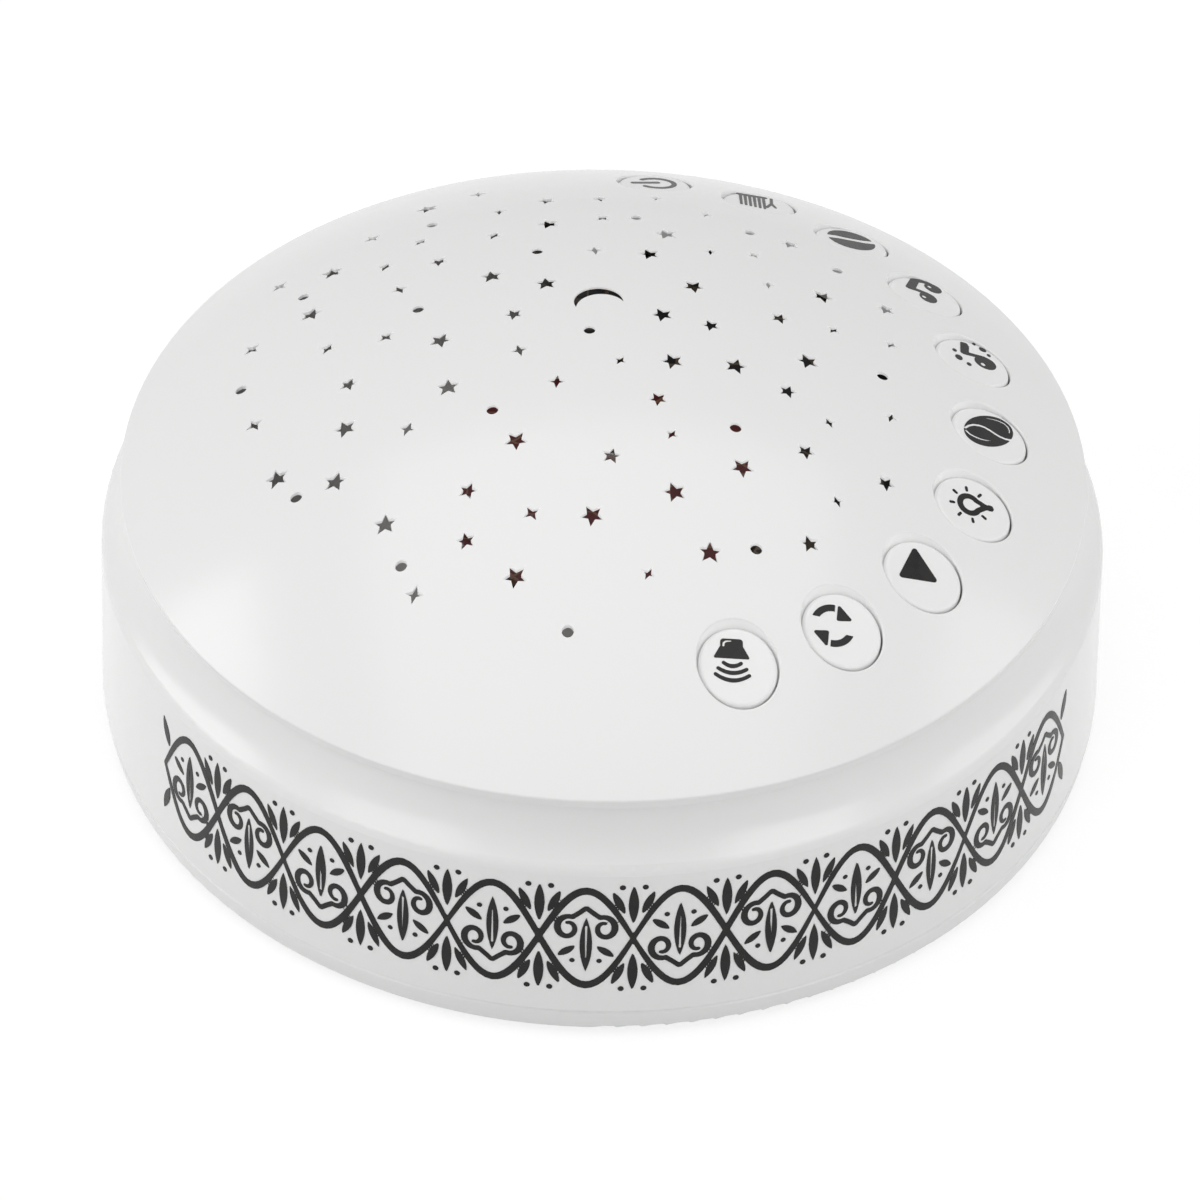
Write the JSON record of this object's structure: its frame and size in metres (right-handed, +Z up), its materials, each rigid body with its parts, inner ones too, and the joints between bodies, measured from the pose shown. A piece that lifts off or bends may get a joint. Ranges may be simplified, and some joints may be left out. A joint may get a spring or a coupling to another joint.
{
  "type": "night light projector",
  "caption": "Round baby night light that throws stars: a domed cover pierced by stars and a crescent, push keys in an arc, a coved body and a flat base.",
  "frame": {"origin": "on the table, under the middle of the round casing", "axes": "+Z up, -Y the front that faces the user, +X the side with the arc of keys, +Y the back with the charging socket"},
  "size_m": [0.15, 0.15, 0.0662],
  "materials": {
    "dome_plastic": "satin-gloss moulded white plastic, thin enough to glow when lit",
    "body_plastic": "satin-gloss moulded white plastic",
    "key_plastic": "satin white plastic with printed symbols",
    "plunger_plastic": "matt moulded plastic",
    "tray_plastic": "matt white plastic",
    "feet_rubber": "soft grey rubber",
    "foam": "closed-cell foam",
    "board_black": "circuit board, black solder mask",
    "board_red": "circuit board, red solder mask",
    "board_green": "circuit board, green solder mask",
    "chip_black": "black moulded electronics housings",
    "led_plastic": "phosphor-filled emitter",
    "lens_clear": "clear moulded lens",
    "screw_steel": "zinc-plated steel",
    "speaker_steel": "pressed steel, dark plating",
    "magnet_steel": "plated steel can over the magnet",
    "cone_paper": "black pressed paper",
    "cell_wrap": "shrink-wrapped steel cell",
    "strap_plastic": "matt white plastic",
    "socket_steel": "nickel-plated steel shell",
    "plug_plastic": "natural nylon lead plugs",
    "print_ink": "black pad-printed ink on the keys and round the wall",
    "lead_red": "insulated lead",
    "lead_black": "insulated lead"
  },
  "bodies": {
    "root": {"base_screws": "screw_steel", "battery_cell": "cell_wrap", "battery_lead": "lead_red", "battery_strap": "strap_plastic", "body_shell": "body_plastic", "bottom_cover": "body_plastic", "charging_socket": "socket_steel", "cover_screws": "screw_steel", "key_board": "board_black", "key_board_chips": "chip_black", "key_board_screws": "screw_steel", "key_lead": "lead_black", "key_switches": "chip_black", "lamp_board": "board_red", "lamp_lead": "lead_red", "lamp_screws": "screw_steel", "lead_plugs": "plug_plastic", "light_tray": "tray_plastic", "night_leds": "led_plastic", "power_board": "board_green", "power_board_chips": "chip_black", "power_board_screws": "screw_steel", "rubber_feet": "feet_rubber", "speaker_cone": "cone_paper", "speaker_frame": "speaker_steel", "speaker_gasket": "foam", "speaker_lead": "lead_black", "speaker_magnet": "magnet_steel", "speaker_screws": "screw_steel", "star_led": "led_plastic", "star_lens": "lens_clear", "strap_screws": "screw_steel", "top_cover": "dome_plastic"},
    "sound_key": {"key_sound": "key_plastic", "plunger_sound": "plunger_plastic"},
    "repeat_key": {"key_repeat": "key_plastic", "plunger_repeat": "plunger_plastic"},
    "play_key": {"key_play": "key_plastic", "plunger_play": "plunger_plastic"},
    "lamp_key": {"key_lamp": "key_plastic", "plunger_lamp": "plunger_plastic"},
    "bean_key": {"key_bean": "key_plastic", "plunger_bean": "plunger_plastic"},
    "chime_key": {"key_chime": "key_plastic", "plunger_chime": "plunger_plastic"},
    "music_key": {"key_music": "key_plastic", "plunger_music": "plunger_plastic"},
    "leaf_key": {"key_leaf": "key_plastic", "plunger_leaf": "plunger_plastic"},
    "lines_key": {"key_lines": "key_plastic", "plunger_lines": "plunger_plastic"},
    "power_key": {"key_power": "key_plastic", "plunger_power": "plunger_plastic"}
  },
  "joints": [
    {"name": "sound_press", "type": "slide", "parent": "root", "child": "sound_key", "axis": [0, 0, -1], "range_m": [0, 0.0006], "stiffness_N_per_m": 3000},
    {"name": "repeat_press", "type": "slide", "parent": "root", "child": "repeat_key", "axis": [0, 0, -1], "range_m": [0, 0.0006], "stiffness_N_per_m": 3000},
    {"name": "play_press", "type": "slide", "parent": "root", "child": "play_key", "axis": [0, 0, -1], "range_m": [0, 0.0006], "stiffness_N_per_m": 3000},
    {"name": "lamp_press", "type": "slide", "parent": "root", "child": "lamp_key", "axis": [0, 0, -1], "range_m": [0, 0.0006], "stiffness_N_per_m": 3000},
    {"name": "bean_press", "type": "slide", "parent": "root", "child": "bean_key", "axis": [0, 0, -1], "range_m": [0, 0.0006], "stiffness_N_per_m": 3000},
    {"name": "chime_press", "type": "slide", "parent": "root", "child": "chime_key", "axis": [0, 0, -1], "range_m": [0, 0.0006], "stiffness_N_per_m": 3000},
    {"name": "music_press", "type": "slide", "parent": "root", "child": "music_key", "axis": [0, 0, -1], "range_m": [0, 0.0006], "stiffness_N_per_m": 3000},
    {"name": "leaf_press", "type": "slide", "parent": "root", "child": "leaf_key", "axis": [0, 0, -1], "range_m": [0, 0.0006], "stiffness_N_per_m": 3000},
    {"name": "lines_press", "type": "slide", "parent": "root", "child": "lines_key", "axis": [0, 0, -1], "range_m": [0, 0.0006], "stiffness_N_per_m": 3000},
    {"name": "power_press", "type": "slide", "parent": "root", "child": "power_key", "axis": [0, 0, -1], "range_m": [0, 0.0006], "stiffness_N_per_m": 3000}
  ]
}
